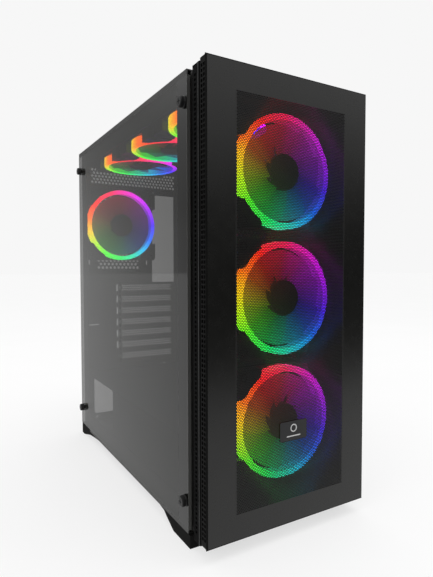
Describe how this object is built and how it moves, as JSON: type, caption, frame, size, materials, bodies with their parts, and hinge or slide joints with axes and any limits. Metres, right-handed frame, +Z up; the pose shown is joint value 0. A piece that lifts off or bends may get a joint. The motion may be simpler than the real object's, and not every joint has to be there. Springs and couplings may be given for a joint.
{
  "type": "desktop computer tower",
  "caption": "Mid-tower computer case with a perforated front, a smoky glass side held by thumbscrews, ring-lit fans, slot covers, dust filters and top controls.",
  "frame": {"origin": "centre of the overall box on the surface that the feet stand on", "axes": "+Z up; the perforated front faces -Y; the smoky glass side faces -X"},
  "size_m": [0.2124, 0.4472, 0.478],
  "materials": {
    "coated_steel": "fine-textured satin black powder coat",
    "front_steel": "fine-textured satin black powder coat, perforated",
    "smoky_pane": "smoke-tinted, polished",
    "black_plastic": "fine-grained moulded black",
    "black_metal": "black anodised, knurled",
    "button_metal": "polished black",
    "light_diffuser": "milky diffuser, emissive rainbow light running round the ring",
    "rotor_plastic": "smoke-tinted translucent",
    "filter_mesh": "fine woven dust mesh in a flat frame",
    "rubber_foot": "moulded black with a soft pad"
  },
  "bodies": {
    "chassis": {"floor_pan": "coated_steel", "rear_wall": "coated_steel", "roof_frame": "coated_steel", "front_frame": "coated_steel", "motherboard_tray": "coated_steel", "psu_shroud": "coated_steel", "drive_cage": "coated_steel", "io_panel": "black_plastic", "port_block": "black_plastic", "fan_hub": "black_plastic", "slot_cover_1": "coated_steel", "slot_cover_2": "coated_steel", "slot_cover_3": "coated_steel", "slot_cover_4": "coated_steel", "slot_cover_5": "coated_steel", "slot_cover_6": "coated_steel", "slot_cover_7": "coated_steel", "foot_front_left": "rubber_foot", "foot_front_right": "rubber_foot", "foot_rear_left": "rubber_foot", "foot_rear_right": "rubber_foot", "front_fan_top_frame": "black_plastic", "front_fan_top_ring": "light_diffuser", "front_fan_middle_frame": "black_plastic", "front_fan_middle_ring": "light_diffuser", "front_fan_bottom_frame": "black_plastic", "front_fan_bottom_ring": "light_diffuser", "roof_fan_front_frame": "black_plastic", "roof_fan_front_ring": "light_diffuser", "roof_fan_middle_frame": "black_plastic", "roof_fan_middle_ring": "light_diffuser", "roof_fan_rear_frame": "black_plastic", "roof_fan_rear_ring": "light_diffuser", "rear_fan_frame": "black_plastic", "rear_fan_ring": "light_diffuser"},
    "window": {"glass_panel": "smoky_pane"},
    "steel_side": {"right_panel": "coated_steel"},
    "front": {"front_panel": "front_steel", "front_bezel": "black_plastic", "badge_plate": "black_plastic"},
    "roof_filter": {"top_filter": "filter_mesh"},
    "supply_filter": {"psu_filter": "filter_mesh"},
    "power_button": {"power_button": "button_metal"},
    "reset_button": {"reset_button": "button_metal"},
    "window_screw_front_top": {"window_screw_front_top": "black_metal"},
    "window_screw_rear_top": {"window_screw_rear_top": "black_metal"},
    "window_screw_front_bottom": {"window_screw_front_bottom": "black_metal"},
    "window_screw_rear_bottom": {"window_screw_rear_bottom": "black_metal"},
    "side_screw_top": {"side_screw_top": "black_metal"},
    "side_screw_bottom": {"side_screw_bottom": "black_metal"},
    "front_fan_top_rotor": {"front_fan_top_rotor": "rotor_plastic"},
    "front_fan_middle_rotor": {"front_fan_middle_rotor": "rotor_plastic"},
    "front_fan_bottom_rotor": {"front_fan_bottom_rotor": "rotor_plastic"},
    "roof_fan_front_rotor": {"roof_fan_front_rotor": "rotor_plastic"},
    "roof_fan_middle_rotor": {"roof_fan_middle_rotor": "rotor_plastic"},
    "roof_fan_rear_rotor": {"roof_fan_rear_rotor": "rotor_plastic"},
    "rear_fan_rotor": {"rear_fan_rotor": "rotor_plastic"}
  },
  "joints": [
    {"name": "window_lift_off", "type": "slide", "parent": "chassis", "child": "window", "axis": [-1, 0, 0], "range_m": [0, 0.12]},
    {"name": "steel_side_slide", "type": "slide", "parent": "chassis", "child": "steel_side", "axis": [0, 1, 0], "range_m": [0, 0.025]},
    {"name": "front_pull_off", "type": "slide", "parent": "chassis", "child": "front", "axis": [0, -1, 0], "range_m": [0, 0.08]},
    {"name": "roof_filter_lift", "type": "slide", "parent": "chassis", "child": "roof_filter", "axis": [0, 0, 1], "range_m": [0, 0.05]},
    {"name": "supply_filter_slide", "type": "slide", "parent": "chassis", "child": "supply_filter", "axis": [0, 1, 0], "range_m": [0, 0.14]},
    {"name": "power_button_press", "type": "slide", "parent": "chassis", "child": "power_button", "axis": [0, 0, -1], "range_m": [0, 0.0015], "stiffness_N_per_m": 600},
    {"name": "reset_button_press", "type": "slide", "parent": "chassis", "child": "reset_button", "axis": [0, 0, -1], "range_m": [0, 0.0012], "stiffness_N_per_m": 500},
    {"name": "window_screw_front_top_turn", "type": "hinge", "parent": "window", "child": "window_screw_front_top", "pos_m": [-0.10015, -0.1795, 0.443], "axis": [-1, 0, 0], "continuous": true},
    {"name": "window_screw_rear_top_turn", "type": "hinge", "parent": "window", "child": "window_screw_rear_top", "pos_m": [-0.10015, 0.2025, 0.443], "axis": [-1, 0, 0], "continuous": true},
    {"name": "window_screw_front_bottom_turn", "type": "hinge", "parent": "window", "child": "window_screw_front_bottom", "pos_m": [-0.10015, -0.1795, 0.0465], "axis": [-1, 0, 0], "continuous": true},
    {"name": "window_screw_rear_bottom_turn", "type": "hinge", "parent": "window", "child": "window_screw_rear_bottom", "pos_m": [-0.10015, 0.2025, 0.0465], "axis": [-1, 0, 0], "continuous": true},
    {"name": "side_screw_top_turn", "type": "hinge", "parent": "steel_side", "child": "side_screw_top", "pos_m": [0.09865, 0.2176, 0.42], "axis": [0, 1, 0], "continuous": true},
    {"name": "side_screw_bottom_turn", "type": "hinge", "parent": "steel_side", "child": "side_screw_bottom", "pos_m": [0.09865, 0.2176, 0.08], "axis": [0, 1, 0], "continuous": true},
    {"name": "front_fan_top_spin", "type": "hinge", "parent": "chassis", "child": "front_fan_top_rotor", "pos_m": [0.00315, -0.2095, 0.381], "axis": [0, 1, 0], "continuous": true},
    {"name": "front_fan_middle_spin", "type": "hinge", "parent": "chassis", "child": "front_fan_middle_rotor", "pos_m": [0.00315, -0.2095, 0.2495], "axis": [0, 1, 0], "continuous": true},
    {"name": "front_fan_bottom_spin", "type": "hinge", "parent": "chassis", "child": "front_fan_bottom_rotor", "pos_m": [0.00315, -0.2095, 0.118], "axis": [0, 1, 0], "continuous": true},
    {"name": "roof_fan_front_spin", "type": "hinge", "parent": "chassis", "child": "roof_fan_front_rotor", "pos_m": [-0.01385, -0.0985, 0.4475], "axis": [0, 0, 1], "continuous": true},
    {"name": "roof_fan_middle_spin", "type": "hinge", "parent": "chassis", "child": "roof_fan_middle_rotor", "pos_m": [-0.01385, 0.026, 0.4475], "axis": [0, 0, 1], "continuous": true},
    {"name": "roof_fan_rear_spin", "type": "hinge", "parent": "chassis", "child": "roof_fan_rear_rotor", "pos_m": [-0.01385, 0.1505, 0.4475], "axis": [0, 0, 1], "continuous": true},
    {"name": "rear_fan_spin", "type": "hinge", "parent": "chassis", "child": "rear_fan_rotor", "pos_m": [-0.03325, 0.189, 0.356], "axis": [0, 1, 0], "continuous": true}
  ]
}
